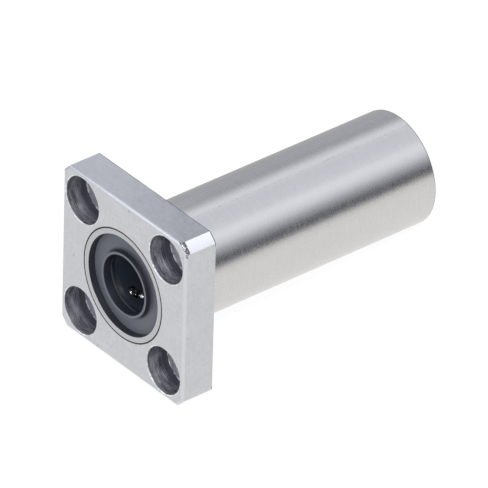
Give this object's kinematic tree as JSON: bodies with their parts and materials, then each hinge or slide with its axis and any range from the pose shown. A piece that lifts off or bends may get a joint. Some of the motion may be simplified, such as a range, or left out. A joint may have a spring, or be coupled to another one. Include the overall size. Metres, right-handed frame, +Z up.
{
  "type": "square flange linear bearing",
  "caption": "Long linear ball bearing with a square counterbored flange at one end, rubber seals at both ends and recirculating ball circuits inside, for a round shaft.",
  "frame": {"origin": "centre of the bore in the plane of the flange's seat face, the face that lies against the machine", "axes": "+Y along the shaft axis towards the free end of the cylinder, +Z up and +X to the right, each square to two sides of the flange"},
  "size_m": [0.03, 0.055, 0.03],
  "materials": {
    "flange": "satin machined, pale",
    "cylinder": "ground, with fine lines along the axis",
    "seal": "smooth moulded, matt",
    "ring": "spring steel",
    "retainer": "moulded resin",
    "balls": "polished steel"
  },
  "bodies": {
    "root": {"flange": "flange", "outer_cylinder": "cylinder", "seal_front": "seal", "side_ring_front": "ring", "retainer_front": "retainer", "seal_rear": "seal", "side_ring_rear": "ring", "retainer_rear": "retainer", "load_balls_front_1": "balls", "load_balls_front_2": "balls", "load_balls_front_3": "balls", "load_balls_front_4": "balls", "return_balls_front_1": "balls", "return_balls_front_2": "balls", "return_balls_front_3": "balls", "return_balls_front_4": "balls", "load_balls_rear_1": "balls", "load_balls_rear_2": "balls", "load_balls_rear_3": "balls", "load_balls_rear_4": "balls", "return_balls_rear_1": "balls", "return_balls_rear_2": "balls", "return_balls_rear_3": "balls", "return_balls_rear_4": "balls"}
  },
  "joints": []
}
